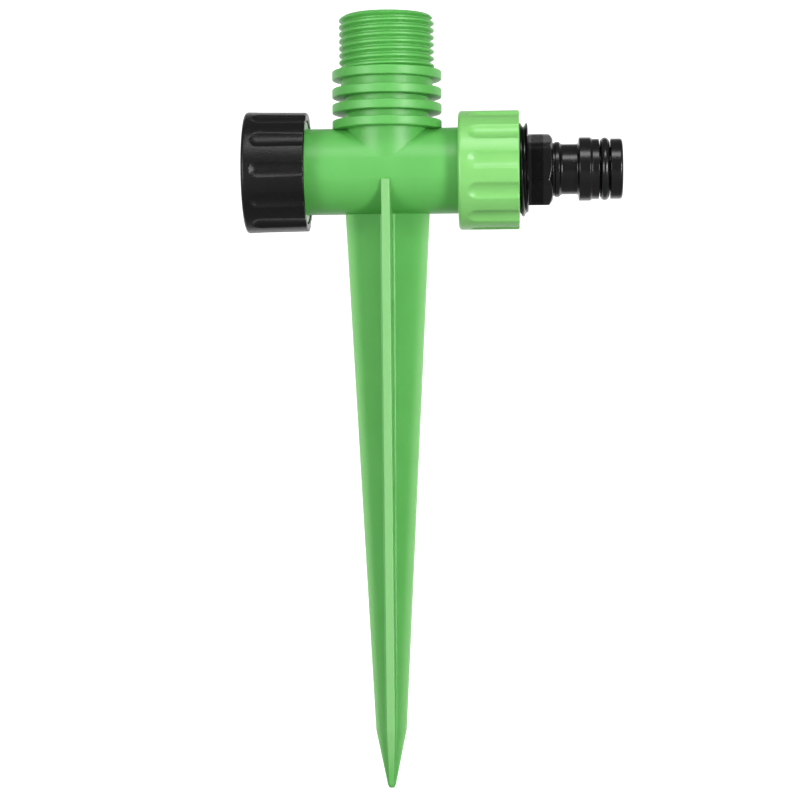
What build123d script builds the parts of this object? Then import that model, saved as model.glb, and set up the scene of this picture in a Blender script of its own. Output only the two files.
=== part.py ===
"""Garden sprinkler base on a ground spike.

A green tee moulding with a cross-shaped spike under it, a threaded riser on top for a sprinkler
head, a screwed end cap on one arm, and on the other a swivel nut that holds a hose adaptor.

Frame: +Z up, the origin on the spike's axis at the underside of the tee (the soil line), the arms
along X with the cap at -X and the hose adaptor at +X. All sizes are in millimetres.
"""

from build123d import *
from math import cos, radians, sqrt, tan
import os

os.makedirs("parts", exist_ok=True)

# ---- driving dimensions -------------------------------------------------------------------
arm_radius = 11.85
tee_height = arm_radius  # height of the arms' axis over the soil line
water_radius = 8.8  # the passage through both arms

# screw threads: one trapezoid profile and one pitch on all three
pitch = 1.95
thread_radius = 13.1  # crests of the riser and of the arm under the cap
thread_root = 12.0
adaptor_thread_radius = 12.9
adaptor_thread_root = 11.8
crest_width = 0.45
flank_angle = radians(28)
flank_clearance = 0.2  # square to the flanks, and over the crests
root_clearance = 0.5  # a nut's crests stand this far off the screw's root
flank_run_on = 0.15  # how far a ridge's flanks run on inside its core
thread_embed = 0.4  # how deep a ridge is sunk into its core
run_in = 2.0  # length over which a thread rises from its core at a free end
end_chamfer = 0.3  # on a threaded core's ends
overrun = 1.0  # how far cutters and envelopes reach past what they trim

# riser
riser_top = 54.6
riser_bore_radius = 9.4
riser_bore_bottom = 28.0
riser_lower_bore_radius = 8.6
riser_chamfer = 0.95
riser_crest_height = 52.5  # a crest on the +X side
rim_chamfer = 0.3
flange_radius = 15.1
flange_thickness = 2.5
flange_rounding = 0.35
flange_tops = (39.4, 34.5, 30.2, 25.75)
neck_radius = 11.5
upper_neck_radius = 12.65  # between the two highest flanges

# spike
soil_reach = 11.58  # blade edge from the axis, at the soil line
knee_depth = 142.3
knee_reach = 4.17
tip_depth = 158.3
tip_reach = 1.1
blade_edge = 2.28  # thickness at the outer edge
tip_edge = 1.3
point_length = 0.9  # the last blunt taper
blade_draft = tan(radians(1.5))  # each face slopes this much towards the axis
rib_top = 8.6  # where the front and back ribs begin to die into the tee
rib_chamfer = 1.0

# end cap on the arm at -X
cap_end = -39.0
cap_mouth = -21.9
cap_end_radius = 16.7
cap_mouth_radius = 16.43
cap_wall = 2.3
cap_rounding = 0.8
cap_counterbore_radius = 14.3
cap_counterbore_depth = 1.9
collar_radius = 13.9  # the arm's collar, just inside the cap's mouth
collar_inset = 0.35
collar_thickness = 1.2
collar_rounding = 0.2
core_lead = 0.6  # chamfers at the mouths of the cap's and the nut's threads

# swivel nut on the arm at +X
nut_back = 19.7
nut_mouth = 36.4
nut_radius = 16.35
nut_lip = 2.0
nut_rounding = 0.9
lip_clearance = 0.3
bead_radius = 12.95  # the arm's bead that the nut's lip snaps over
bead_room = 0.4
bead_length = 2.3
bead_slope_start = 0.8  # the bead is full to here, then slopes down for the lip to snap over
bead_drop = 1.2
washer_thickness = 1.8
washer_gap = 0.05
washer_step = 0.2  # how far a washer stands clear of the water's way
mouth_rounding = 0.35

# grip flutes on both the cap and the nut
flute_count = 12
flute_cutter = 4.2
flute_depth = 0.85
flute_run = 30.0  # long enough to run out at either mouth
flute_end_share = 0.87  # of a flute's half width, from its end to its full depth
cap_flute_start = -36.4
nut_flute_start = 22.8
cap_flute_angle = 3  # of one flute, up from the front
nut_flute_angle = 11

# hose adaptor
thread_end = 38.85
adaptor_crest = 38.4  # a crest on the upper side
hex_across_flats = 17.6
hex_rounding = 1.0
hex_end = 45.5
hex_angle = 37  # of one corner, up from the front
hex_chamfer = 1.7  # how far back the turned chamfer starts
hex_face_drop = 0.35  # of the chamfer below the flats, at the end
adaptor_bore_radius = 8.2
adaptor_bore_end = 42.5
bore_taper = 1.5
nipple_bore_radius = 4.8
shoulder_radius = 7.3  # the nipple's foot on the hexagon, and the bead on it
shoulder_bead_radius = 7.6
shoulder_bead_start = 46.2
shoulder_bead_end = 47.2
nipple_neck_start = 47.9
nipple_neck_end = 52.4
nipple_neck_radius = 6.9
nipple_collar_start = 52.7
nipple_collar_end = 55.7
nipple_collar_radius = 8.7
nipple_land_start = 56.3
nipple_land_radius = 8.275
nipple_end = 64.6
nipple_end_rounding = 0.6
nipple_bore_chamfer = 0.4
ring_centre = 59.75
ring_section = 1.25
ring_radius = 7.35
ring_groove_width = 3.1

# ---- derived sizes ------------------------------------------------------------------------
cap_floor = cap_end + cap_wall
arm_end_left = cap_floor + washer_thickness + 2 * washer_gap
bead_start = nut_back + nut_lip + lip_clearance + washer_gap
arm_end_right = bead_start + bead_length
adaptor_end = arm_end_right + washer_thickness + 2 * washer_gap
flute_end_length = sqrt(flute_cutter**2 - (flute_cutter - flute_depth) ** 2) * flute_end_share
cap_core = thread_root + root_clearance
nut_core = adaptor_thread_root + root_clearance

arms = Axis((0, 0, tee_height), (1, 0, 0))
riser = Axis((0, 0, 0), (0, 0, 1))


# ---- shared shapes ------------------------------------------------------------------------
def turned(points, axis, rounds=()):
    """A solid of revolution from a closed half profile in the XZ plane, some corners rounded."""
    with BuildPart() as piece:
        with BuildSketch(Plane.XZ) as profile:
            with BuildLine():
                Polyline(*points, close=True)
            make_face()
            for corner, radius in rounds:
                fillet(profile.vertices().sort_by_distance(corner)[0], radius)
        revolve(axis=axis)
    return piece.part


def on_arm(x, radius):
    """A profile point x along the arms and radius off their axis."""
    return (x, tee_height + radius)


def turned_on_arm(points, rounds=()):
    """A solid of revolution about the arms' axis, from (x, radius) points."""
    corners = [(on_arm(*corner), radius) for corner, radius in rounds]
    return turned([on_arm(*point) for point in points], arms, corners)


def thread_ridge(crest, root, turns, clearance=0.0):
    """A right-hand helical ridge on the +Z axis, its first crest at the origin's height on +X."""

    def half_width(radius):
        return crest_width / 2 + clearance / cos(flank_angle) + (crest - radius) * tan(flank_angle)

    outer = crest + clearance
    flank_end = root - flank_run_on
    base = root - thread_embed
    with BuildPart() as ridge:
        with BuildLine():
            Helix(pitch, turns * pitch, root)
        with BuildSketch(Plane(origin=(0, 0, 0), x_dir=(1, 0, 0), z_dir=(0, -1, 0))):
            with BuildLine():
                Polyline(
                    (base, -half_width(flank_end)),
                    (flank_end, -half_width(flank_end)),
                    (outer, -half_width(outer)),
                    (outer, half_width(outer)),
                    (flank_end, half_width(flank_end)),
                    (base, half_width(flank_end)),
                    close=True,
                )
            make_face()
        sweep(is_frenet=True)
    return ridge.part


def placed_thread(ridge, plane, envelope):
    """A ridge moved to its plane and trimmed to the turned envelope."""
    with BuildPart() as thread:
        with Locations(plane.location):
            add(ridge)
        add(envelope, mode=Mode.INTERSECT)
    return thread.part


def core_bore(radius, start, end):
    """The plain bore through a tapped hole, on the arms' axis."""
    return turned_on_arm([(start, 0), (start, radius), (end, radius), (end, 0)])


def grip_flutes(start, outer_radius, first_angle):
    """Twelve round-ended cutters for grip flutes that run from start towards +X and out at a mouth."""
    centre = start + flute_end_length
    offset = outer_radius - flute_depth + flute_cutter
    with BuildPart() as cutters:
        for number in range(flute_count):
            turn = first_angle + 360 * number / flute_count
            around = Plane(
                origin=(centre, 0, tee_height),
                x_dir=Vector(0, -1, 0).rotate(Axis.X, -turn),
                z_dir=(1, 0, 0),
            )
            with Locations(around.location * Location((offset, 0, 0))):
                Sphere(flute_cutter)
                Cylinder(flute_cutter, flute_run, align=(Align.CENTER, Align.CENTER, Align.MIN))
    return cutters.part


def washer(start, inner, outer):
    """A flat sealing ring on the arms' axis, from start towards +X."""
    end = start + washer_thickness
    return turned_on_arm([(start, inner), (end, inner), (end, outer), (start, outer)])


# ---- the three threads --------------------------------------------------------------------
riser_turns = 9
riser_start = riser_crest_height - 7.25 * pitch  # a quarter turn on from a crest at the front
riser_thread_foot = flange_tops[0] - flange_thickness + end_chamfer
riser_plane = Plane(origin=(0, 0, riser_start), x_dir=(0, -1, 0), z_dir=(0, 0, 1))
riser_envelope = turned(
    [
        (0, riser_thread_foot),
        (thread_radius + overrun, riser_thread_foot),
        (thread_radius + overrun, riser_top - riser_chamfer - overrun),
        (thread_radius - riser_chamfer, riser_top),
        (0, riser_top),
    ],
    riser,
)
riser_thread = placed_thread(
    thread_ridge(thread_radius, thread_root, riser_turns), riser_plane, riser_envelope
)

cap_turns = 8
collar_face = cap_mouth - collar_inset - collar_thickness
cap_plane = Plane(origin=(cap_mouth + pitch, 0, tee_height), x_dir=(0, 0, 1), z_dir=(-1, 0, 0))
cap_arm_thread = placed_thread(
    thread_ridge(thread_radius, thread_root, cap_turns),
    cap_plane,
    turned_on_arm(
        [
            (collar_face + collar_thickness / 2, 0),
            (collar_face + collar_thickness / 2, thread_radius + overrun),
            (arm_end_left + run_in, thread_radius + overrun),
            (arm_end_left, thread_root - thread_embed),
            (arm_end_left, 0),
        ]
    ),
)
cap_tap_end = arm_end_left - 0.8  # the cap's thread is cut to just past the arm's end
cap_tap_start = cap_mouth + overrun
cap_thread_cutter = placed_thread(
    thread_ridge(thread_radius, thread_root, cap_turns, flank_clearance),
    cap_plane,
    turned_on_arm(
        [
            (cap_tap_start, 0),
            (cap_tap_start, thread_radius + overrun),
            (cap_tap_end, thread_radius + overrun),
            (cap_tap_end, 0),
        ]
    ),
)

nut_turns = 9
nut_plane = Plane(
    origin=(adaptor_crest - 8 * pitch, 0, tee_height), x_dir=(0, 0, 1), z_dir=(1, 0, 0)
)
adaptor_thread_start = adaptor_end + 0.4
adaptor_thread_end = thread_end - 0.1
adaptor_thread = placed_thread(
    thread_ridge(adaptor_thread_radius, adaptor_thread_root, nut_turns),
    nut_plane,
    turned_on_arm(
        [
            (adaptor_thread_start, 0),
            (adaptor_thread_start, adaptor_thread_root - end_chamfer),
            (adaptor_thread_start + run_in, adaptor_thread_radius + overrun),
            (adaptor_thread_end, adaptor_thread_radius + overrun),
            (adaptor_thread_end, 0),
        ]
    ),
)
nut_tap_start = arm_end_right - 1.0  # inside the room for the arm's bead
nut_tap_end = nut_mouth + overrun
nut_thread_cutter = placed_thread(
    thread_ridge(adaptor_thread_radius, adaptor_thread_root, nut_turns, flank_clearance),
    nut_plane,
    turned_on_arm(
        [
            (nut_tap_start, 0),
            (nut_tap_start, adaptor_thread_radius + overrun),
            (nut_tap_end, adaptor_thread_radius + overrun),
            (nut_tap_end, 0),
        ]
    ),
)

# ---- spike body: tee, riser and ground spike in one moulding ------------------------------
reach_slope = (soil_reach - knee_reach) / knee_depth
rib_top_reach = soil_reach + reach_slope * rib_top
spike_sections = (
    # height, reach, edge thickness, root fillet, edge rounding
    (rib_top + rib_chamfer, rib_top_reach - rib_chamfer, blade_edge, 0.7, 0.25),
    (rib_top, rib_top_reach, blade_edge, 0.7, 0.25),
    (-knee_depth, knee_reach, blade_edge, 0.6, 0.25),
    (-tip_depth + point_length, tip_reach, tip_edge, 0.12, 0.15),
    (-tip_depth, tip_reach * 0.6, tip_edge * 0.6, 0.06, 0.1),
)


def cross_section(reach, edge, root_fillet, edge_rounding):
    """Four blades in a cross, thicker at the axis, with rounded roots and edges."""
    root = edge + 2 * reach * blade_draft
    blade = [
        (-reach, -edge / 2),
        (0, -root / 2),
        (reach, -edge / 2),
        (reach, edge / 2),
        (0, root / 2),
        (-reach, edge / 2),
    ]
    with BuildSketch() as cross:
        with BuildLine():
            Polyline(*blade, close=True)
        make_face()
        with BuildLine():
            Polyline(*[(-y, x) for x, y in blade], close=True)
        make_face()
        corners = cross.vertices().sort_by_distance((0, 0))
        fillet(corners[:4], root_fillet)
        tips = cross.vertices().sort_by_distance((0, 0))[-8:]
        fillet(tips, edge_rounding)
    return cross.sketch


with BuildPart() as spike_body:
    for height, *shape in spike_sections:
        with BuildSketch(Plane.XY.offset(height)):
            add(cross_section(*shape))
    loft(ruled=True)

    # the arms, with the cap's collar on one and the nut's bead on the other
    add(
        turned_on_arm(
            [
                (arm_end_left, 0),
                (arm_end_left, thread_root - thread_embed),
                (arm_end_left + thread_embed, thread_root),
                (collar_face, thread_root),
                (collar_face, collar_radius),
                (collar_face + collar_thickness, collar_radius),
                (collar_face + collar_thickness, arm_radius),
                (bead_start, arm_radius),
                (bead_start, bead_radius),
                (bead_start + bead_slope_start, bead_radius),
                (arm_end_right, bead_radius - bead_drop),
                (arm_end_right, 0),
            ],
            [
                ((collar_face, collar_radius), collar_rounding),
                ((collar_face + collar_thickness, collar_radius), collar_rounding),
            ],
        )
    )
    add(cap_arm_thread)

    # the riser and its flanges
    add(
        turned(
            [
                (0, tee_height),
                (neck_radius, tee_height),
                (neck_radius, flange_tops[1] - flange_thickness / 2),
                (upper_neck_radius, flange_tops[1] - flange_thickness / 2),
                (upper_neck_radius, flange_tops[0] - flange_thickness / 2),
                (thread_root, flange_tops[0] - flange_thickness / 2),
                (thread_root, riser_top - end_chamfer),
                (thread_root - end_chamfer, riser_top),
                (0, riser_top),
            ],
            riser,
        )
    )
    for top in flange_tops:
        bottom = top - flange_thickness
        add(
            turned(
                [(0, bottom), (flange_radius, bottom), (flange_radius, top), (0, top)],
                riser,
                [((flange_radius, bottom), flange_rounding), ((flange_radius, top), flange_rounding)],
            )
        )
    add(riser_thread)

    # the water passages
    add(
        turned_on_arm(
            [
                (arm_end_left - overrun, 0),
                (arm_end_left - overrun, water_radius),
                (arm_end_right + overrun, water_radius),
                (arm_end_right + overrun, 0),
            ]
        ),
        mode=Mode.SUBTRACT,
    )
    add(
        turned(
            [
                (0, tee_height),
                (riser_lower_bore_radius, tee_height),
                (riser_lower_bore_radius, riser_bore_bottom),
                (riser_bore_radius, riser_bore_bottom),
                (riser_bore_radius, riser_top - rim_chamfer),
                (riser_bore_radius + rim_chamfer * 2, riser_top + rim_chamfer),
                (0, riser_top + rim_chamfer),
            ],
            riser,
        ),
        mode=Mode.SUBTRACT,
    )
spike_body.part.label = "spike_body"
export_step(spike_body.part, "parts/spike_body.step")

# ---- end cap ------------------------------------------------------------------------------
counterbore_floor = cap_mouth - cap_counterbore_depth
with BuildPart() as end_cap:
    add(
        turned_on_arm(
            [
                (cap_end, 0),
                (cap_end, cap_end_radius),
                (cap_mouth, cap_mouth_radius),
                (cap_mouth, 0),
            ],
            [
                ((cap_end, cap_end_radius), cap_rounding),
                ((cap_mouth, cap_mouth_radius), mouth_rounding),
            ],
        )
    )
    # the thread is cut from the solid blank before its core is bored
    add(cap_thread_cutter, mode=Mode.SUBTRACT)
    add(core_bore(cap_core, cap_floor, cap_tap_start), mode=Mode.SUBTRACT)
    add(
        turned_on_arm(
            [
                (counterbore_floor - core_lead * 1.5, 0),
                (counterbore_floor - core_lead * 1.5, cap_core - core_lead / 2),
                (counterbore_floor, cap_core + core_lead),
                (counterbore_floor, cap_counterbore_radius),
                (cap_mouth + overrun, cap_counterbore_radius),
                (cap_mouth + overrun, 0),
            ]
        ),
        mode=Mode.SUBTRACT,
    )
    fillet(
        end_cap.edges()
        .filter_by(GeomType.CIRCLE)
        .filter_by(lambda edge: abs(edge.radius - cap_counterbore_radius) < 0.01)
        .sort_by(Axis.X)[-1],
        mouth_rounding,
    )
    add(
        grip_flutes(cap_flute_start, cap_end_radius - 0.1, cap_flute_angle),
        mode=Mode.SUBTRACT,
    )
end_cap.part.label = "end_cap"
export_step(end_cap.part, "parts/end_cap.step")

with BuildPart() as cap_washer:
    add(washer(cap_floor + washer_gap, water_radius + washer_step, thread_root + washer_step))
cap_washer.part.label = "cap_washer"
export_step(cap_washer.part, "parts/cap_washer.step")

# ---- swivel nut ---------------------------------------------------------------------------
lip_radius = arm_radius + lip_clearance
bead_room_radius = bead_radius + bead_room
with BuildPart() as swivel_nut:
    add(
        turned_on_arm(
            [(nut_back, 0), (nut_back, nut_radius), (nut_mouth, nut_radius), (nut_mouth, 0)],
            [
                ((nut_back, nut_radius), nut_rounding),
                ((nut_mouth, nut_radius), mouth_rounding),
            ],
        )
    )
    add(nut_thread_cutter, mode=Mode.SUBTRACT)
    add(core_bore(nut_core, nut_tap_start, nut_tap_end), mode=Mode.SUBTRACT)
    # the lip's hole and the room for the arm's bead behind it
    add(
        turned_on_arm(
            [
                (nut_back - overrun, 0),
                (nut_back - overrun, lip_radius),
                (nut_back + nut_lip, lip_radius),
                (nut_back + nut_lip, bead_room_radius),
                (arm_end_right - 0.8, bead_room_radius),
                (arm_end_right + 0.3, nut_core - 0.2),
                (arm_end_right + 0.3, 0),
            ]
        ),
        mode=Mode.SUBTRACT,
    )
    add(
        turned_on_arm(
            [
                (nut_mouth - overrun, 0),
                (nut_mouth - overrun, nut_core + core_lead - overrun),
                (nut_mouth + overrun, nut_core + core_lead + overrun),
                (nut_mouth + overrun, 0),
            ]
        ),
        mode=Mode.SUBTRACT,
    )
    add(grip_flutes(nut_flute_start, nut_radius, nut_flute_angle), mode=Mode.SUBTRACT)
swivel_nut.part.label = "swivel_nut"
export_step(swivel_nut.part, "parts/swivel_nut.step")

with BuildPart() as inlet_washer:
    add(washer(arm_end_right + washer_gap, water_radius + washer_step, nut_core - washer_step))
inlet_washer.part.label = "inlet_washer"
export_step(inlet_washer.part, "parts/inlet_washer.step")

# ---- hose adaptor -------------------------------------------------------------------------
groove_start = ring_centre - ring_groove_width / 2
groove_end = ring_centre + ring_groove_width / 2
groove_radius = ring_radius - ring_section - washer_gap
hex_corner_radius = hex_across_flats / sqrt(3)
front = Vector(0, -1, 0)
with BuildPart() as hose_adaptor:
    # hexagon, chamfered at its outer end
    with BuildSketch(
        Plane(
            origin=(thread_end - 1, 0, tee_height),
            x_dir=front.rotate(Axis.X, -hex_angle),
            z_dir=(1, 0, 0),
        )
    ) as hexagon:
        RegularPolygon(hex_corner_radius, 6)
        fillet(hexagon.vertices(), hex_rounding)
    extrude(amount=hex_end - thread_end + 1)
    add(
        turned_on_arm(
            [
                (adaptor_end, 0),
                (adaptor_end, hex_corner_radius + overrun),
                (hex_end - hex_chamfer, hex_corner_radius + overrun),
                (hex_end, hex_across_flats / 2 - hex_face_drop),
                (hex_end, 0),
            ]
        ),
        mode=Mode.INTERSECT,
    )
    # threaded barrel, with a turned nipple beyond the hexagon
    add(
        turned_on_arm(
            [
                (adaptor_end, 0),
                (adaptor_end, adaptor_thread_root - end_chamfer),
                (adaptor_end + end_chamfer, adaptor_thread_root),
                (thread_end - end_chamfer, adaptor_thread_root),
                (thread_end, adaptor_thread_root - end_chamfer),
                (thread_end, 0),
            ]
        )
    )
    add(
        turned_on_arm(
            [
                (thread_end, 0),
                (thread_end, shoulder_radius),
                (shoulder_bead_start - 0.2, shoulder_radius),
                (shoulder_bead_start, shoulder_bead_radius),
                (shoulder_bead_end, shoulder_bead_radius),
                (nipple_neck_start, nipple_neck_radius),
                (nipple_neck_end, nipple_neck_radius),
                (nipple_collar_start, nipple_collar_radius),
                (nipple_collar_end, nipple_collar_radius),
                (nipple_land_start, nipple_land_radius),
                (groove_start, nipple_land_radius),
                (groove_start, groove_radius),
                (groove_end, groove_radius),
                (groove_end, nipple_land_radius),
                (nipple_end, nipple_land_radius),
                (nipple_end, 0),
            ],
            [
                ((nipple_neck_start, nipple_neck_radius), 0.8),
                ((nipple_neck_end, nipple_neck_radius), 0.5),
                ((nipple_collar_start, nipple_collar_radius), 0.25),
                ((nipple_collar_end, nipple_collar_radius), 0.25),
                ((groove_start, nipple_land_radius), 0.15),
                ((groove_end, nipple_land_radius), 0.15),
                ((nipple_end, nipple_land_radius), nipple_end_rounding),
            ],
        )
    )
    add(adaptor_thread)
    add(
        turned_on_arm(
            [
                (adaptor_end - overrun, 0),
                (adaptor_end - overrun, adaptor_bore_radius),
                (adaptor_bore_end, adaptor_bore_radius),
                (adaptor_bore_end + bore_taper, nipple_bore_radius),
                (nipple_end - nipple_bore_chamfer, nipple_bore_radius),
                (nipple_end + nipple_bore_chamfer, nipple_bore_radius + 2 * nipple_bore_chamfer),
                (nipple_end + nipple_bore_chamfer, 0),
            ]
        ),
        mode=Mode.SUBTRACT,
    )
hose_adaptor.part.label = "hose_adaptor"
export_step(hose_adaptor.part, "parts/hose_adaptor.step")

with BuildPart() as adaptor_o_ring:
    with BuildSketch(Plane.XZ):
        with Locations(on_arm(ring_centre, ring_radius)):
            Circle(ring_section)
    revolve(axis=arms)
adaptor_o_ring.part.label = "adaptor_o_ring"
export_step(adaptor_o_ring.part, "parts/adaptor_o_ring.step")
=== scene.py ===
import math
import bpy
import numpy as np
from mathutils import Matrix, Vector


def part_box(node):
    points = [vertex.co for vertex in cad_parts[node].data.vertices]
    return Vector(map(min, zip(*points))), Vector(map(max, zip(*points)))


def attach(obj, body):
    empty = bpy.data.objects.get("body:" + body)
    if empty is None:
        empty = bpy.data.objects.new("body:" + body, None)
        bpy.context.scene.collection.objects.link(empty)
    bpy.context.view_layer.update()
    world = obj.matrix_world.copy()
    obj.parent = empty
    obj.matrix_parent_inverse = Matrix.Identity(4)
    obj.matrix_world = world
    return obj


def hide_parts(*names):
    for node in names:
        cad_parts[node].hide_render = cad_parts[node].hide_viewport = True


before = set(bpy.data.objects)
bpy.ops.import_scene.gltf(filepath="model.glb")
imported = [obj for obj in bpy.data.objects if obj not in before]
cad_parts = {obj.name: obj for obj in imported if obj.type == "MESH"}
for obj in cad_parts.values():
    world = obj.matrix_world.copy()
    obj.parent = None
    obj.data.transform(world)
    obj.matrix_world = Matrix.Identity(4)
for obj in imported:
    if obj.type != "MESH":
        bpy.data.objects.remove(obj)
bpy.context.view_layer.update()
print("frame loaded:", ", ".join(sorted(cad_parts)))

mm = 0.001
armHeight = 11.85  # mm, of the arms' axis
threadPitch = 1.95
flankSlope = math.tan(math.radians(28))
crestHalf = 0.225  # half the flat on a thread's crest


def newTree(holder):
    holder.use_nodes = True
    tree = holder.node_tree
    tree.nodes.clear()
    return tree


def addNode(tree, kind, **values):
    node = tree.nodes.new(kind)
    for name, value in values.items():
        setattr(node, name, value)
    return node


def setInputs(node, values):
    for name, value in values.items():
        fitting = [socket for socket in node.inputs if socket.name == name and socket.enabled]
        fitting[0].default_value = value


def wire(tree, source, sink):
    tree.links.new(source, sink)


def newGroup(name, inputs, outputs):
    group = bpy.data.node_groups.new(name, "ShaderNodeTree")
    for socket, value in inputs.items():
        entry = group.interface.new_socket(socket, in_out="INPUT", socket_type="NodeSocketFloat")
        entry.default_value = value
    for socket in outputs:
        group.interface.new_socket(socket, in_out="OUTPUT", socket_type="NodeSocketFloat")
    return group, addNode(group, "NodeGroupInput"), addNode(group, "NodeGroupOutput")


def addNoise(tree, place, detail, roughness):
    noise = addNode(tree, "ShaderNodeTexNoise")
    setInputs(noise, {"Detail": detail, "Roughness": roughness})
    wire(tree, place.outputs["Object"], noise.inputs["Vector"])
    return noise


# spark-eroded mould grain, with slow waves from shrinkage under it
def makeGrainGroup():
    group, start, end = newGroup(
        "mouldGrain", {"Grain Scale": 3000, "Wave Scale": 120, "Wave Share": 0.4}, ("Height", "Mottle")
    )
    place = addNode(group, "ShaderNodeTexCoord")
    fine = addNoise(group, place, 3, 0.6)
    broad = addNoise(group, place, 2, 0.5)
    mix = addNode(group, "ShaderNodeMix", data_type="FLOAT")
    wire(group, start.outputs["Grain Scale"], fine.inputs["Scale"])
    wire(group, start.outputs["Wave Scale"], broad.inputs["Scale"])
    wire(group, start.outputs["Wave Share"], mix.inputs["Factor"])
    wire(group, fine.outputs["Fac"], mix.inputs["A"])
    wire(group, broad.outputs["Fac"], mix.inputs["B"])
    wire(group, mix.outputs["Result"], end.inputs["Height"])
    wire(group, broad.outputs["Fac"], end.inputs["Mottle"])
    return group


# tiny scuffs and dust specks that show on a handled moulding
def makeSpeckGroup():
    group, start, end = newGroup("surfaceSpecks", {"Speck Scale": 900, "Speck Size": 0.06}, ("Specks",))
    place = addNode(group, "ShaderNodeTexCoord")
    cells = addNode(group, "ShaderNodeTexVoronoi", feature="F1")
    wire(group, place.outputs["Object"], cells.inputs["Vector"])
    wire(group, start.outputs["Speck Scale"], cells.inputs["Scale"])
    sparse = addNoise(group, place, 1, 0.5)
    sparse.inputs["Scale"].default_value = 260
    few = addNode(group, "ShaderNodeMapRange")
    setInputs(few, {"From Min": 0.56, "From Max": 0.62})
    small = addNode(group, "ShaderNodeMath", operation="LESS_THAN")
    both = addNode(group, "ShaderNodeMath", operation="MULTIPLY")
    wire(group, cells.outputs["Distance"], small.inputs[0])
    wire(group, start.outputs["Speck Size"], small.inputs[1])
    wire(group, sparse.outputs["Fac"], few.inputs["Value"])
    wire(group, small.outputs["Value"], both.inputs[0])
    wire(group, few.outputs["Result"], both.inputs[1])
    wire(group, both.outputs["Value"], end.inputs["Specks"])
    return group


# painted light: the outer edges of the spike's blades, and the ribs' edges up to the tee, are painted lighter
# by position, standing in for light on the thin plastic
def makePaintedEdgeLightGroup():
    blade = {"Reach": 0.01158, "Slope": 0.0521, "Fade": 0.003, "Rib": 0.0013, "Top": 0.0088}  # metres
    group, start, end = newGroup("paintedEdgeLightMask", blade, ("Edges",))
    place = addNode(group, "ShaderNodeTexCoord")
    parts = addNode(group, "ShaderNodeSeparateXYZ")
    across, deep = (addNode(group, "ShaderNodeMath", operation="ABSOLUTE") for _ in range(2))
    farther, either = (addNode(group, "ShaderNodeMath", operation="MAXIMUM") for _ in range(2))
    lower, below, narrow = (addNode(group, "ShaderNodeMath", operation="LESS_THAN") for _ in range(3))
    reach = addNode(group, "ShaderNodeMath", operation="MULTIPLY_ADD")
    inward = addNode(group, "ShaderNodeMath", operation="SUBTRACT")
    gate, both = (addNode(group, "ShaderNodeMath", operation="MULTIPLY") for _ in range(2))
    fade = addNode(group, "ShaderNodeMapRange", interpolation_type="SMOOTHSTEP")
    setInputs(fade, {"From Min": 0.0, "To Min": 1.0, "To Max": 0.0})
    wire(group, place.outputs["Object"], parts.inputs["Vector"])
    wire(group, parts.outputs["X"], across.inputs[0])
    wire(group, parts.outputs["Y"], deep.inputs[0])
    wire(group, across.outputs["Value"], farther.inputs[0])
    wire(group, deep.outputs["Value"], farther.inputs[1])
    wire(group, parts.outputs["Z"], reach.inputs[0])
    wire(group, start.outputs["Slope"], reach.inputs[1])
    wire(group, start.outputs["Reach"], reach.inputs[2])
    wire(group, reach.outputs["Value"], inward.inputs[0])
    wire(group, farther.outputs["Value"], inward.inputs[1])
    wire(group, inward.outputs["Value"], fade.inputs["Value"])
    wire(group, start.outputs["Fade"], fade.inputs["From Max"])
    wire(group, parts.outputs["Z"], lower.inputs[0])
    wire(group, start.outputs["Top"], lower.inputs[1])
    wire(group, parts.outputs["Z"], below.inputs[0])
    below.inputs[1].default_value = 0
    wire(group, across.outputs["Value"], narrow.inputs[0])
    wire(group, start.outputs["Rib"], narrow.inputs[1])
    wire(group, below.outputs["Value"], either.inputs[0])
    wire(group, narrow.outputs["Value"], either.inputs[1])
    wire(group, either.outputs["Value"], gate.inputs[0])
    wire(group, lower.outputs["Value"], gate.inputs[1])
    wire(group, gate.outputs["Value"], both.inputs[0])
    wire(group, fade.outputs["Result"], both.inputs[1])
    wire(group, both.outputs["Value"], end.inputs["Edges"])
    return group


grainGroup = makeGrainGroup()
speckGroup = makeSpeckGroup()
paintedEdgeLightGroup = makePaintedEdgeLightGroup()
print("shared effects made")

spikeGreen = {
    "dark": (0.096, 0.420, 0.076, 1),
    "light": (0.120, 0.475, 0.098, 1),
    "speck": (0.16, 0.58, 0.14, 1),
    "paintedEdgeLight": (0.218, 0.525, 0.180, 1),  # painted light along the blades' outer edges and the ribs' edges
    "roughness": (0.36, 0.52),
    "specular": 0.62,
    "grain": 0.16,
    "grainDepth": 0.05 * mm,
    "grainScale": 2400,  # grains to a metre
    "glow": 0.25,  # light that enters the plastic and comes out nearby
    "glowDepth": 1.2 * mm,
    "glowTint": (0.55, 1.0, 0.50),
}
nutGreen = {
    "dark": (0.200, 0.545, 0.140, 1),
    "light": (0.232, 0.605, 0.168, 1),
    "speck": (0.26, 0.70, 0.20, 1),
    "roughness": (0.28, 0.42),
    "specular": 0.6,
    "grain": 0.14,
    "grainDepth": 0.05 * mm,
    "grainScale": 2400,
    "glow": 0.20,
    "glowDepth": 1.0 * mm,
    "glowTint": (0.55, 1.0, 0.50),
}
capBlack = {
    "dark": (0.0016, 0.0016, 0.0017, 1),
    "light": (0.0038, 0.0038, 0.0040, 1),
    "speck": (0.04, 0.04, 0.04, 1),
    "roughness": (0.22, 0.40),
    "specular": 0.36,
    "grain": 1.0,
    "grainDepth": 0.13 * mm,
    "grainScale": 2600,
}
adaptorBlack = {
    "dark": (0.0024, 0.0024, 0.0026, 1),
    "light": (0.0056, 0.0056, 0.0058, 1),
    "speck": (0.05, 0.05, 0.05, 1),
    "roughness": (0.17, 0.32),
    "specular": 0.46,
    "grain": 0.20,
    "grainDepth": 0.05 * mm,
    "grainScale": 3200,
}
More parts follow.
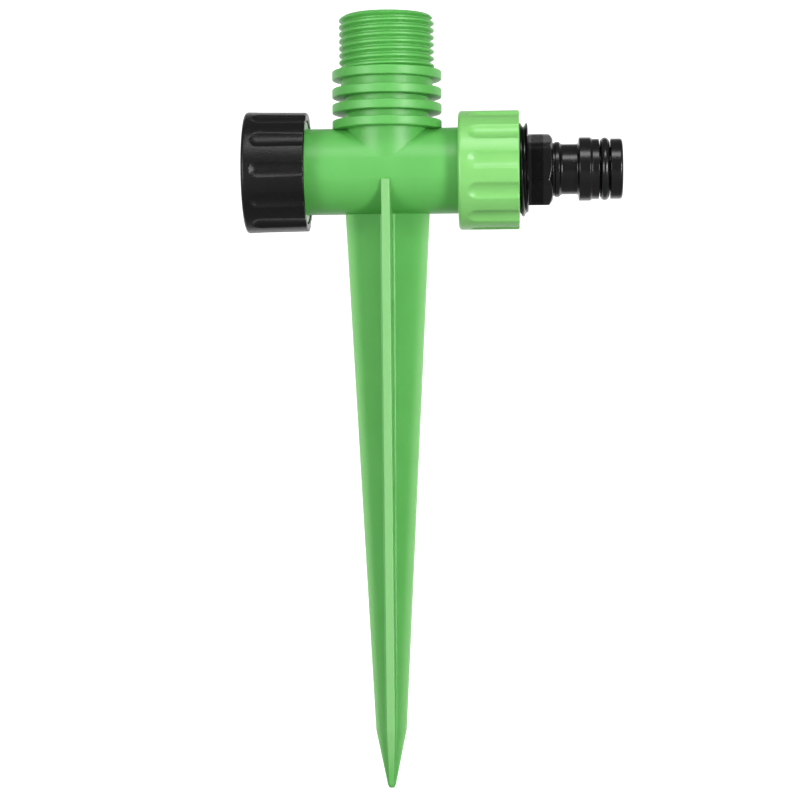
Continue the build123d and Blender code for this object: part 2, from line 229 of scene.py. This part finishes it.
sealRubber = {
    "dark": (0.0022, 0.0022, 0.0023, 1),
    "light": (0.0050, 0.0050, 0.0052, 1),
    "speck": (0.03, 0.03, 0.03, 1),
    "roughness": (0.18, 0.30),
    "specular": 0.5,
    "grain": 0.08,
    "grainDepth": 0.05 * mm,
    "grainScale": 4200,
}


def makePlastic(name, look):
    material = bpy.data.materials.new(name)
    tree = newTree(material)
    out = addNode(tree, "ShaderNodeOutputMaterial")
    shader = addNode(tree, "ShaderNodeBsdfPrincipled")
    grain = addNode(tree, "ShaderNodeGroup", node_tree=grainGroup)
    grain.inputs["Grain Scale"].default_value = look["grainScale"]
    specks = addNode(tree, "ShaderNodeGroup", node_tree=speckGroup)
    tint = addNode(tree, "ShaderNodeMix", data_type="RGBA")
    tint.inputs["A"].default_value = look["dark"]
    tint.inputs["B"].default_value = look["light"]
    flecked = addNode(tree, "ShaderNodeMix", data_type="RGBA")
    flecked.inputs["B"].default_value = look["speck"]
    rough = addNode(tree, "ShaderNodeMapRange")
    rough.inputs["To Min"].default_value, rough.inputs["To Max"].default_value = look["roughness"]
    bump = addNode(tree, "ShaderNodeBump")
    setInputs(bump, {"Strength": look["grain"], "Distance": look["grainDepth"]})
    shader.inputs["Specular IOR Level"].default_value = look["specular"]
    if "glowDepth" in look:
        setInputs(shader, {"Subsurface Weight": look["glow"], "Subsurface Scale": look["glowDepth"]})
        shader.inputs["Subsurface Radius"].default_value = look["glowTint"]
    wire(tree, grain.outputs["Mottle"], tint.inputs["Factor"])
    wire(tree, tint.outputs["Result"], flecked.inputs["A"])
    wire(tree, specks.outputs["Specks"], flecked.inputs["Factor"])
    colour = flecked.outputs["Result"]
    # painted light: the spike's blade and rib edges are mixed towards a lighter colour
    if "paintedEdgeLight" in look:
        edgeLightMask = addNode(tree, "ShaderNodeGroup", node_tree=paintedEdgeLightGroup)
        paintedLightMix = addNode(tree, "ShaderNodeMix", data_type="RGBA")
        paintedLightMix.inputs["B"].default_value = look["paintedEdgeLight"]
        wire(tree, edgeLightMask.outputs["Edges"], paintedLightMix.inputs["Factor"])
        wire(tree, colour, paintedLightMix.inputs["A"])
        colour = paintedLightMix.outputs["Result"]
    wire(tree, colour, shader.inputs["Base Color"])
    wire(tree, grain.outputs["Height"], rough.inputs["Value"])
    wire(tree, rough.outputs["Result"], shader.inputs["Roughness"])
    wire(tree, grain.outputs["Height"], bump.inputs["Height"])
    wire(tree, bump.outputs["Normal"], shader.inputs["Normal"])
    wire(tree, shader.outputs["BSDF"], out.inputs["Surface"])
    return material


plastics = {
    "spike": makePlastic("spikeGreen", spikeGreen),
    "nut": makePlastic("nutGreen", nutGreen),
    "cap": makePlastic("capBlack", capBlack),
    "adaptor": makePlastic("adaptorBlack", adaptorBlack),
    "seal": makePlastic("sealRubber", sealRubber),
}


def finishNode(node, material):
    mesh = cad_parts[node].data
    mesh.materials.clear()
    mesh.materials.append(material)


finishNode("spike_body", plastics["spike"])
for seal in ("cap_washer", "inlet_washer", "adaptor_o_ring"):
    finishNode(seal, plastics["seal"])
print("plastics made")


def smoothMin(a, b, blend):
    return (a + b - np.sqrt((a - b) ** 2 + blend**2)) / 2


def smoothMax(a, b, blend):
    return (a + b + np.sqrt((a - b) ** 2 + blend**2)) / 2


# an outline's corners are (x, radius, rounding, step of the run that follows), in mm
def roundedOutline(corners, closed):
    runs = []
    count = len(corners)
    for i, (x, r, rounding, step) in enumerate(corners):
        here = np.array((x, r), float)
        before = np.array(corners[i - 1][:2], float)
        after = np.array(corners[(i + 1) % count][:2], float)
        arc = [here]
        if rounding:
            toBefore = (before - here) / np.linalg.norm(before - here)
            toAfter = (after - here) / np.linalg.norm(after - here)
            half = math.acos(np.clip(toBefore @ toAfter, -1, 1)) / 2
            reach = rounding / math.tan(half)
            inward = toBefore + toAfter
            middle = here + inward / np.linalg.norm(inward) * rounding / math.sin(half)
            first = here + toBefore * reach - middle
            last = here + toAfter * reach - middle
            sweep = math.pi - 2 * half
            parts = max(3, math.ceil(sweep * 5))
            arc = [
                middle + (first * math.sin((1 - t) * sweep) + last * math.sin(t * sweep)) / math.sin(sweep)
                for t in np.linspace(0, 1, parts + 1)
            ]
        runs.append((arc, step))
    points = []
    for i, (arc, step) in enumerate(runs):
        points += arc
        if i + 1 == count and not closed:
            break
        start, end = arc[-1], runs[(i + 1) % count][0][0]
        parts = max(1, math.ceil(np.linalg.norm(end - start) / step))
        points += [start + (end - start) * k / parts for k in range(1, parts)]
    return np.array(points)


# angles run from straight up towards the front, as the right-hand threads climb towards +X
def anglesAround(segments):
    return np.arange(segments) * 2 * math.pi / segments


def makeTurned(name, along, radii, closed, material):
    rows, segments = radii.shape
    angles = anglesAround(segments)
    x = np.broadcast_to(along[:, None], radii.shape)
    places = np.stack((x, -radii * np.sin(angles), radii * np.cos(angles) + armHeight), axis=-1)
    verts = (places.reshape(-1, 3) * mm).tolist()
    row = np.arange(rows if closed else rows - 1)[:, None]
    col = np.arange(segments)[None, :]
    nextRow, nextCol = (row + 1) % rows, (col + 1) % segments
    quads = np.stack(
        (
            row * segments + col,
            row * segments + nextCol,
            nextRow * segments + nextCol,
            nextRow * segments + col,
        ),
        axis=-1,
    )
    faces = quads.reshape(-1, 4).tolist()
    if not closed:
        for ring, flip in ((0, True), (rows - 1, False)):
            verts.append((along[ring] * mm, 0, armHeight * mm))
            hub = len(verts) - 1
            fan = [(ring * segments + k, ring * segments + (k + 1) % segments) for k in range(segments)]
            faces += [(b, a, hub) if flip else (a, b, hub) for a, b in fan]
    mesh = bpy.data.meshes.new(name)
    mesh.from_pydata(verts, [], faces)
    mesh.materials.append(material)
    mesh.shade_smooth()
    mesh.set_sharp_from_angle(angle=math.radians(38))
    piece = bpy.data.objects.new(name, mesh)
    bpy.context.collection.objects.link(piece)
    return piece


# how far a point lies along X from the nearest turn of a thread's crest
def fromCrest(along, angles, crest):
    shift = along[:, None] - crest - threadPitch * angles[None, :] / (2 * math.pi)
    return np.abs((shift + threadPitch / 2) % threadPitch - threadPitch / 2)


def threadProfile(distance, crestRadius, clearance, blend):
    flat = crestHalf + clearance / math.cos(math.atan(flankSlope))
    flank = crestRadius + clearance - (distance - flat) / flankSlope
    return smoothMin(np.full_like(flank, crestRadius + clearance), flank, blend)


# round-ended flutes milled into the outside by a ball cutter, as a depth for every point
def fluteDepths(along, angles, grip):
    ends, endRadii = (grip["left"], grip["right"]), (grip["leftRadius"], grip["rightRadius"])
    outer = np.interp(along, ends, endRadii)[:, None]
    hub = grip["leftRadius"] - grip["depth"] + grip["cutter"]
    endReach = math.sqrt(grip["cutter"] ** 2 - (grip["cutter"] - grip["depth"]) ** 2)
    ball = grip["start"] + endReach * 0.87
    past = np.clip(ball - along, 0, grip["cutter"] - 0.01)[:, None]
    share = 2 * math.pi / grip["count"]
    turn = angles[None, :] - math.pi / 2 + math.radians(grip["angle"])
    turn = (turn + share / 2) % share - share / 2
    inside = np.clip(grip["cutter"] ** 2 - past**2 - (hub * np.sin(turn)) ** 2, 0, None)
    cut = hub * np.cos(turn) - np.sqrt(inside)
    return outer - smoothMin(np.broadcast_to(outer, cut.shape), cut, grip["edge"])


capShape = {
    "left": -39.0,
    "right": -21.9,
    "leftRadius": 16.7,
    "rightRadius": 16.43,
    "wall": 2.3,
    "bore": 12.5,
    "counterbore": (14.3, 1.9),  # radius and depth
    "threadStart": -35.6,
    "threadCrest": 13.1,
    "crestAt": -21.9,  # a crest on the upper side
    "count": 12,
    "start": -36.4,
    "angle": -2.2,  # of one flute, up from the front
    "depth": 0.85,
    "cutter": 4.2,
    "edge": 0.12,
}
nutShape = {
    "left": 19.7,
    "right": 36.4,
    "leftRadius": 16.35,
    "rightRadius": 16.35,
    "lip": 2.0,
    "lipRadius": 12.15,
    "beadRoom": (13.35, 3.85, 4.77),  # radius, and where it ends and its slope ends
    "bore": 12.3,
    "threadStart": 23.35,
    "threadCrest": 12.9,
    "crestAt": 38.4,
    "count": 12,
    "start": 22.8,
    "angle": 5,
    "depth": 0.85,
    "cutter": 4.2,
    "edge": 0.13,
}


# cuts the grip flutes and the inner thread into a plain turned outline
def cutGrip(points, grip, mouthShare, segments):
    angles = anglesAround(segments)
    along, plain = points[:, 0], points[:, 1]
    share = np.clip((plain - mouthShare[0]) / (mouthShare[1] - mouthShare[0]), 0, 1)
    radii = plain[:, None] - share[:, None] * fluteDepths(along, angles, grip)
    groove = threadProfile(fromCrest(along, angles, grip["crestAt"]), grip["threadCrest"], 0.2, 0.08)
    groove -= np.clip(grip["threadStart"] - along, 0, None)[:, None] * 4
    inner = (plain < grip["threadCrest"] + 0.6) & (plain > grip["bore"] - 0.02)
    grooved = smoothMax(radii, groove, 0.05)
    return np.where(inner[:, None] & (grooved > radii + 0.002), grooved, radii)


def makeCap(shape):
    left, right = shape["left"], shape["right"]
    wide, deep = shape["counterbore"]
    shelf = right - deep
    points = roundedOutline(
        [
            (left + 0.12, 0.05, 0, 0.3),  # gate mark in the middle of the end
            (left + 0.12, 0.60, 0.10, 0.3),
            (left + 0.40, 0.85, 0.12, 0.4),
            (left + 0.40, 2.00, 0.12, 0.3),
            (left, 2.40, 0.20, 1.6),
            (left, shape["leftRadius"], 0.90, 0.24),
            (right, shape["rightRadius"], 0.40, 0.3),
            (right, wide, 0.35, 0.4),
            (shelf, wide, 0.12, 0.3),
            (shelf, shape["bore"] + 0.6, 0, 0.12),
            (shelf - 0.6, shape["bore"], 0, 0.15),
            (left + shape["wall"], shape["bore"], 0.3, 1.5),
            (left + shape["wall"], 0.05, 0, 1),
        ],
        closed=False,
    )
    radii = cutGrip(points, shape, (wide + 0.2, wide + 1.4), 576)
    return makeTurned("screw_cap", points[:, 0], radii, False, plastics["cap"])


def makeNut(shape):
    left, right = shape["left"], shape["right"]
    room, roomEnd, slopeEnd = shape["beadRoom"]
    points = roundedOutline(
        [
            (left, shape["lipRadius"], 0.3, 0.6),
            (left, shape["leftRadius"], 0.95, 0.24),
            (right, shape["rightRadius"], 0.40, 0.3),
            (right, shape["bore"] + 0.6, 0, 0.12),
            (right - 0.6, shape["bore"], 0, 0.15),
            (left + slopeEnd, shape["bore"], 0, 0.2),
            (left + roomEnd, room, 0, 0.6),
            (left + shape["lip"], room, 0, 0.4),
            (left + shape["lip"], shape["lipRadius"], 0, 0.6),
        ],
        closed=True,
    )
    radii = cutGrip(points, shape, (shape["bore"] + 1.4, shape["bore"] + 2.8), 576)
    return makeTurned("grip_nut", points[:, 0], radii, True, plastics["nut"])


adaptorShape = {
    "end": 26.25,
    "bore": 8.2,
    "root": 11.8,
    "crest": 12.9,
    "crestAt": 38.4,
    "threadEnd": 38.85,
    "hexFlats": 8.8,  # from the axis
    "hexEnd": 45.5,
    "hexAngle": 37,  # of one corner, up from the front
    "tip": 64.6,
    "land": 8.275,
    "groove": (58.2, 61.3, 6.05),
    "waterWay": 4.8,
    "shoulder": (7.3, 7.6, 0.5, 0.75, 1.7, 2.4),  # two radii, then steps past the hexagon
    "neck": 6.9,
    "collar": (52.7, 55.7, 8.7),  # start, end, radius
    "hexMean": 9.0,
    "inletFloor": (42.5, 44.0),  # where the wide bore narrows to the water way
    "gateMark": (51.0, 14, 0.10, 0.34),  # place, angle up from the front, height, radius
}


def hexRadii(along, angles, shape):
    sixth = math.pi / 3
    corner = math.pi / 2 - math.radians(shape["hexAngle"])
    turn = (angles - corner + sixth / 2) % sixth - sixth / 2
    sides = [shape["hexFlats"] / np.cos(turn + side * sixth / 2) for side in (-1, 1)]
    flats = smoothMin(sides[0], sides[1], 0.0)
    rounded = flats - 0.16 * np.exp(-((turn / 0.085) ** 2))
    chamfer = np.interp(along, (shape["hexEnd"] - 1.7, shape["hexEnd"]), (11.16, 8.45))
    return smoothMin(np.broadcast_to(rounded, (len(along), len(angles))), chamfer[:, None], 0.16)


def makeAdaptor(shape):
    grooveStart, grooveEnd, grooveFloor = shape["groove"]
    barrel, hexMean, hexEnd = shape["root"] - 0.3, shape["hexMean"], shape["hexEnd"]
    foot, ridgeTop, footEnd, rise, ridgeEnd, neckStart = shape["shoulder"]
    collarStart, collarEnd, collar = shape["collar"]
    wideEnd, narrowStart = shape["inletFloor"]
    neck, tip = shape["neck"], shape["tip"]
    points = roundedOutline(
        [
            (shape["end"], shape["bore"], 0, 0.8),
            (shape["end"], barrel, 0, 0.2),
            (shape["end"] + 0.3, shape["root"], 0, 0.13),
            (shape["threadEnd"] - 0.3, shape["root"], 0, 0.1),
            (shape["threadEnd"], barrel, 0, 0.3),
            (shape["threadEnd"], hexMean, 0, 0.2),
            (hexEnd, hexMean, 0, 0.3),
            (hexEnd, foot, 0.15, 0.3),
            (hexEnd + footEnd, foot, 0, 0.2),
            (hexEnd + rise, ridgeTop, 0.12, 0.3),
            (hexEnd + ridgeEnd, ridgeTop, 0.30, 0.3),
            (hexEnd + neckStart, neck, 0.85, 0.11),
            (collarStart - 0.3, neck, 0.50, 0.3),
            (collarStart, collar, 0.30, 0.3),
            (collarEnd, collar, 0.30, 0.3),
            (collarEnd + 0.6, shape["land"], 0.40, 0.4),
            (grooveStart, shape["land"], 0.22, 0.4),
            (grooveStart, grooveFloor, 0.15, 0.5),
            (grooveEnd, grooveFloor, 0.15, 0.4),
            (grooveEnd, shape["land"], 0.22, 0.5),
            (tip, shape["land"], 0.75, 0.5),
            (tip, shape["waterWay"] + 0.4, 0.15, 0.3),
            (tip - 0.4, shape["waterWay"], 0.15, 1.0),
            (narrowStart, shape["waterWay"], 0, 0.5),
            (wideEnd, shape["bore"], 0, 1.0),
        ],
        closed=True,
    )
    along, plain = points[:, 0], points[:, 1]
    angles = anglesAround(480)
    radii = np.repeat(plain[:, None], len(angles), axis=1)
    # thread, rising over its first two millimetres
    ridge = threadProfile(fromCrest(along, angles, shape["crestAt"]), shape["crest"], 0, 0.10)
    riseStart = shape["end"] + 0.4
    envelope = np.interp(along, (riseStart, riseStart + 2), (shape["root"] - 0.3, shape["crest"] + 0.2))
    fade = np.interp(along, (shape["threadEnd"] - 0.3, shape["threadEnd"] - 0.02), (0.0, 1.4))
    ridge = np.minimum(ridge, (envelope + 1e-4)[:, None]) - fade[:, None]
    barrelRows = (plain > barrel - 0.01) & (along > shape["end"] + 0.05) & (along < shape["threadEnd"] + 0.01)
    radii = np.where(barrelRows[:, None], np.maximum(radii, ridge), radii)
    # hexagon, with its end faces stretched to meet it
    hexagon = hexRadii(along, angles, shape)
    between = (along > shape["threadEnd"] - 0.01) & (along < hexEnd + 0.01) & (plain > foot)
    stretch = (barrel - hexagon) / (barrel - hexMean)
    leftFace = between & (along < shape["threadEnd"] + 0.01)
    rightFace = between & (along > hexEnd - 0.01)
    radii = np.where(between[:, None], hexagon, radii)
    radii = np.where(leftFace[:, None], barrel - (barrel - plain)[:, None] * stretch, radii)
    squeeze = (hexagon - foot) / (hexMean - foot)
    radii = np.where(rightFace[:, None], foot + (plain - foot)[:, None] * squeeze, radii)
    # gate mark on the neck
    place, up, height, size = shape["gateMark"]
    around = (angles - math.pi / 2 + math.radians(up)) * plain[:, None]
    spread = ((along - place)[:, None] ** 2 + around**2) / size**2
    neckRows = (np.abs(along - place) < 1.2) & (plain > 6.5)
    radii += np.where(neckRows[:, None], height * np.exp(-(spread**2)), 0)
    return makeTurned("threaded_adaptor", along, radii, True, plastics["adaptor"])


for make, shape, node, body, slot in (
    (makeCap, capShape, "end_cap", "cap", "black_moulding"),
    (makeNut, nutShape, "swivel_nut", "nut", "light_green_moulding"),
    (makeAdaptor, adaptorShape, "hose_adaptor", "adaptor", "black_moulding"),
):
    piece = make(shape)
    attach(piece, body)
    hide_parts(node)
    print(piece.name, "made,", len(piece.data.polygons), "faces")

stage = {
    "floorSize": 1.6,  # metres each way in front of the backdrop's curve
    "curve": 0.5,
    "height": 1.8,
    "gap": 0.5 * mm,
    "white": (0.38, 0.38, 0.38, 1),
    "glow": 1.0,
    "glowFrom": 0.12,  # metres behind the object
    "glowFade": 0.1,
    "roomLight": 0.20,  # of the white room, as a light
    "roomLook": 1.0,  # and as the camera sees it
}
camera = {
    "yaw": 2.75,  # degrees, towards the hose adaptor's side
    "pitch": -0.15,
    "roll": -0.425,
    "distance": 0.65,
    "viewWidth": 0.2762 * 0.8,  # of the picture, at the object
    "aim": (0.0030, -0.0513),  # right of the riser's axis, and height
}
lamps = {
    "keyLeft": {"turn": -41, "height": -0.10, "away": 0.85, "size": (0.36, 0.70), "power": 6.8},
    "keyRight": {"turn": 41, "height": -0.06, "away": 0.85, "size": (0.24, 0.50), "power": 7.4},
    "topSoft": {"turn": 4, "height": 0.62, "away": 0.50, "size": (0.50, 0.22), "power": 2.3},
}
lampAim = Vector((0, 0, -0.02))


def makeStage():
    low = min(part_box(name)[0][2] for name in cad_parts) - stage["gap"]
    half, curve = stage["floorSize"], stage["curve"]
    line = [(-half * 1.6, low), (half, low)]
    for step in range(1, 17):
        turn = math.pi / 2 * step / 16
        line.append((half + curve * math.sin(turn), low + curve * (1 - math.cos(turn))))
    line.append((half + curve, low + stage["height"]))
    wide = half * 2.2
    verts = [(side * wide, y, z) for y, z in line for side in (-1, 1)]
    faces = [(2 * k, 2 * k + 1, 2 * k + 3, 2 * k + 2) for k in range(len(line) - 1)]
    mesh = bpy.data.meshes.new("paleFloor")
    mesh.from_pydata(verts, [], faces)
    mesh.shade_smooth()
    paint = bpy.data.materials.new("paleFloor")
    tree = newTree(paint)
    out = addNode(tree, "ShaderNodeOutputMaterial")
    shader = addNode(tree, "ShaderNodeBsdfPrincipled")
    setInputs(shader, {"Base Color": stage["white"], "Roughness": 0.95, "Emission Strength": stage["glow"]})
    # the backdrop glows behind the object, and the whole floor looks white without lighting it from below
    place = addNode(tree, "ShaderNodeTexCoord")
    parts = addNode(tree, "ShaderNodeSeparateXYZ")
    behind = addNode(tree, "ShaderNodeMapRange")
    setInputs(behind, {"From Min": stage["glowFrom"], "From Max": stage["glowFrom"] + stage["glowFade"]})
    path = addNode(tree, "ShaderNodeLightPath")
    either = addNode(tree, "ShaderNodeMath", operation="MAXIMUM")
    glow = addNode(tree, "ShaderNodeMix", data_type="RGBA")
    setInputs(glow, {"A": (0, 0, 0, 1), "B": (1, 1, 1, 1)})
    wire(tree, place.outputs["Object"], parts.inputs["Vector"])
    wire(tree, parts.outputs["Y"], behind.inputs["Value"])
    wire(tree, behind.outputs["Result"], either.inputs[0])
    wire(tree, path.outputs["Is Camera Ray"], either.inputs[1])
    wire(tree, either.outputs["Value"], glow.inputs["Factor"])
    wire(tree, glow.outputs["Result"], shader.inputs["Emission Color"])
    wire(tree, shader.outputs["BSDF"], out.inputs["Surface"])
    mesh.materials.append(paint)
    floor = bpy.data.objects.new("floor", mesh)
    bpy.context.collection.objects.link(floor)


def makeLamp(name, lamp):
    light = bpy.data.lights.new(name, "AREA")
    light.shape = "RECTANGLE"
    light.size, light.size_y = lamp["size"]
    light.energy = lamp["power"]
    holder = bpy.data.objects.new(name, light)
    bpy.context.collection.objects.link(holder)
    turn = math.radians(lamp["turn"])
    place = Vector((math.sin(turn), -math.cos(turn), 0)) * lamp["away"] + Vector((0, 0, lamp["height"]))
    holder.location = place
    holder.visible_camera = False
    holder.rotation_euler = (lampAim - place).to_track_quat("-Z", "Y").to_euler()


def makeWorld():
    world = bpy.data.worlds.new("whiteRoom")
    bpy.context.scene.world = world
    tree = newTree(world)
    out = addNode(tree, "ShaderNodeOutputWorld")
    room = addNode(tree, "ShaderNodeBackground")
    # white to the camera, and dim as a light
    path = addNode(tree, "ShaderNodeLightPath")
    strength = addNode(tree, "ShaderNodeMapRange")
    setInputs(strength, {"To Min": stage["roomLight"], "To Max": stage["roomLook"]})
    room.inputs["Color"].default_value = (1, 1, 1, 1)
    wire(tree, path.outputs["Is Camera Ray"], strength.inputs["Value"])
    wire(tree, strength.outputs["Result"], room.inputs["Strength"])
    wire(tree, room.outputs["Background"], out.inputs["Surface"])


def makeCamera():
    yaw, pitch, roll = (math.radians(camera[k]) for k in ("yaw", "pitch", "roll"))
    level = Vector((math.cos(yaw), math.sin(yaw), 0))
    ahead = Vector((-math.sin(yaw), math.cos(yaw), 0))
    up = Vector((0, 0, 1))
    look = ahead * math.cos(pitch) + up * math.sin(pitch)
    top = up * math.cos(pitch) - ahead * math.sin(pitch)
    right = level * math.cos(roll) + top * math.sin(roll)
    top = top * math.cos(roll) - level * math.sin(roll)
    place = level * camera["aim"][0] + up * camera["aim"][1] - look * camera["distance"]
    data = bpy.data.cameras.new("studioCamera")
    data.sensor_width = 36
    data.lens = 36 * camera["distance"] / camera["viewWidth"]
    data.clip_start = 0.01
    holder = bpy.data.objects.new("studioCamera", data)
    bpy.context.collection.objects.link(holder)
    holder.matrix_world = Matrix(
        (
            (right.x, top.x, -look.x, place.x),
            (right.y, top.y, -look.y, place.y),
            (right.z, top.z, -look.z, place.z),
            (0, 0, 0, 1),
        )
    )
    bpy.context.scene.camera = holder


makeStage()
makeWorld()
for name, lamp in lamps.items():
    makeLamp(name, lamp)
makeCamera()
bpy.context.scene.view_settings.view_transform = "Standard"
print("stage, lights and camera set")
